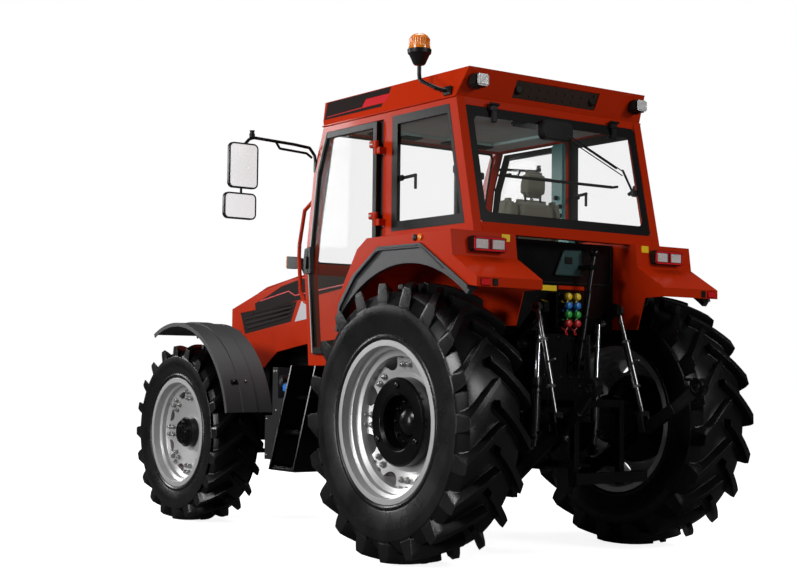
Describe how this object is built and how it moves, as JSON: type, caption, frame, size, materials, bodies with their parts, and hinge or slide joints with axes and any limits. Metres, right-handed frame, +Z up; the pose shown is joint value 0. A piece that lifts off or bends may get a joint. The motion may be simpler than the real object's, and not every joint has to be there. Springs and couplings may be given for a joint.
{
  "type": "four-wheel-drive farm tractor",
  "caption": "Farm tractor with a boxy red cab, opening doors and bonnet, steered front wheels with fenders, lugged tyres and a rear three-point linkage.",
  "frame": {"origin": "on the ground under the middle of the overall length and width", "axes": "+X forward, +Y to the tractor's left, +Z up"},
  "size_m": [4.43, 2.78, 3.03],
  "materials": {
    "tyre": "worn rubber",
    "silver": "silver paint",
    "red": "gloss paint",
    "black": "gloss black paint",
    "glass": "clear",
    "dark_plastic": "grained",
    "grey_plastic": "grained",
    "lamp": "lens",
    "fabric": "woven",
    "amber": "lens",
    "chrome": "polished"
  },
  "bodies": {
    "root": {"engine_block": "black", "transmission_housing": "black", "rear_axle_housings": "black", "cab_mounts": "dark_plastic", "front_support": "black", "front_weights": "black", "front_axle_beam": "black", "drive_shaft": "black", "cowl": "dark_plastic", "cab_side_left": "red", "cab_side_right": "red", "cab_crossmembers": "red", "cab_roof": "red", "headliner": "grey_plastic", "cab_floor": "dark_plastic", "consoles": "dark_plastic", "seat": "fabric", "cab_glass": "glass", "rear_fenders": "red", "arch_trims": "dark_plastic", "mirrors": "dark_plastic", "beacon": "amber", "lamps": "lamp", "steps": "black", "tank_and_battery_box": "dark_plastic", "exhaust": "black", "hitch_frame": "black", "top_link": "black", "couplers": "black"},
    "steering_wheel": {"steering_wheel": "black"},
    "bonnet": {"bonnet": "red", "bonnet_grilles": "dark_plastic", "headlamps": "lamp"},
    "tie_rod": {"tie_rod": "black"},
    "lift_arms": {"lift_arms": "black"},
    "lower_links": {"lower_links": "black"},
    "lift_rods": {"lift_rods": "black"},
    "cylinder_barrels": {"cylinder_barrels": "black"},
    "cylinder_rods": {"cylinder_rods": "chrome"},
    "pto_shaft": {"pto_shaft": "black"},
    "knuckle_left": {"steering_knuckle_left": "black", "front_fender_left": "dark_plastic"},
    "front_wheel_left": {"front_tyre_left": "tyre", "front_rim_left": "silver", "front_hub_left": "black"},
    "rear_wheel_left": {"rear_tyre_left": "tyre", "rear_rim_left": "silver", "rear_hub_left": "black"},
    "door_left": {"door_left": "black", "door_glass_left": "glass"},
    "knuckle_right": {"steering_knuckle_right": "black", "front_fender_right": "dark_plastic"},
    "front_wheel_right": {"front_tyre_right": "tyre", "front_rim_right": "silver", "front_hub_right": "black"},
    "rear_wheel_right": {"rear_tyre_right": "tyre", "rear_rim_right": "silver", "rear_hub_right": "black"},
    "door_right": {"door_right": "black", "door_glass_right": "glass"}
  },
  "joints": [
    {"name": "rear_wheel_left_spin", "type": "hinge", "parent": "root", "child": "rear_wheel_left", "pos_m": [-1.205, 0.885, 0.789], "axis": [0, 1, 0], "continuous": true},
    {"name": "steer_left", "type": "hinge", "parent": "root", "child": "knuckle_left", "pos_m": [1.415, 0.64, 0.6215], "axis": [0, 0, 1], "range_deg": [-35, 35]},
    {"name": "front_wheel_left_spin", "type": "hinge", "parent": "knuckle_left", "child": "front_wheel_left", "pos_m": [1.415, 0.838, 0.6215], "axis": [0, 1, 0], "continuous": true},
    {"name": "door_left_hinge", "type": "hinge", "parent": "root", "child": "door_left", "pos_m": [-0.66, 0.779, 2], "axis": [0, 0, 1], "range_deg": [0, 60]},
    {"name": "rear_wheel_right_spin", "type": "hinge", "parent": "root", "child": "rear_wheel_right", "pos_m": [-1.205, -0.885, 0.789], "axis": [0, 1, 0], "continuous": true},
    {"name": "steer_right", "type": "hinge", "parent": "root", "child": "knuckle_right", "pos_m": [1.415, -0.64, 0.6215], "axis": [0, 0, 1], "range_deg": [-35, 35]},
    {"name": "front_wheel_right_spin", "type": "hinge", "parent": "knuckle_right", "child": "front_wheel_right", "pos_m": [1.415, -0.838, 0.6215], "axis": [0, 1, 0], "continuous": true},
    {"name": "door_right_hinge", "type": "hinge", "parent": "root", "child": "door_right", "pos_m": [-0.66, -0.779, 2], "axis": [0, 0, 1], "range_deg": [-60, 0]},
    {"name": "tie_rod_swing", "type": "hinge", "parent": "knuckle_left", "child": "tie_rod", "pos_m": [1.23, 0.64, 0.5215], "axis": [0, 0, 1], "range_deg": [-35, 35]},
    {"name": "steering_wheel_turn", "type": "hinge", "parent": "root", "child": "steering_wheel", "pos_m": [-0.305, 0, 1.79], "axis": [-0.5736, 0, 0.8192], "continuous": true},
    {"name": "bonnet_lift", "type": "hinge", "parent": "root", "child": "bonnet", "pos_m": [0.257, 0, 1.782], "axis": [0, 1, 0], "range_deg": [-45, 0]},
    {"name": "lift", "type": "hinge", "parent": "root", "child": "lift_arms", "pos_m": [-1.385, 0, 1.23], "axis": [0, 1, 0], "range_deg": [-75, 0]},
    {"name": "lower_link_swing", "type": "hinge", "parent": "root", "child": "lower_links", "pos_m": [-1.265, 0, 0.4], "axis": [0, 1, 0], "range_deg": [-34, 0]},
    {"name": "lift_rod_swing", "type": "hinge", "parent": "lift_arms", "child": "lift_rods", "pos_m": [-1.614, 0, 1.446], "axis": [0, 1, 0], "range_deg": [0, 80]},
    {"name": "cylinder_swing", "type": "hinge", "parent": "root", "child": "cylinder_barrels", "pos_m": [-1.495, 0, 0.62], "axis": [0, 1, 0], "range_deg": [-5, 0]},
    {"name": "cylinder_stroke", "type": "slide", "parent": "cylinder_barrels", "child": "cylinder_rods", "axis": [-0.0531, 0, 0.9986], "range_m": [-0.25, 0]},
    {"name": "pto_turn", "type": "hinge", "parent": "root", "child": "pto_shaft", "pos_m": [-1.555, 0, 0.69], "axis": [1, 0, 0], "continuous": true}
  ],
  "couplings": [
    {"joint": "steer_right", "follows": "steer_left", "ratio": 1},
    {"joint": "tie_rod_swing", "follows": "steer_left", "ratio": -1},
    {"joint": "lower_link_swing", "follows": "lift", "ratio": 0.45},
    {"joint": "lift_rod_swing", "follows": "lift", "ratio": -1.06},
    {"joint": "cylinder_swing", "follows": "lift", "ratio": 0.058},
    {"joint": "cylinder_stroke", "follows": "lift", "m_per_rad": 0.189}
  ]
}
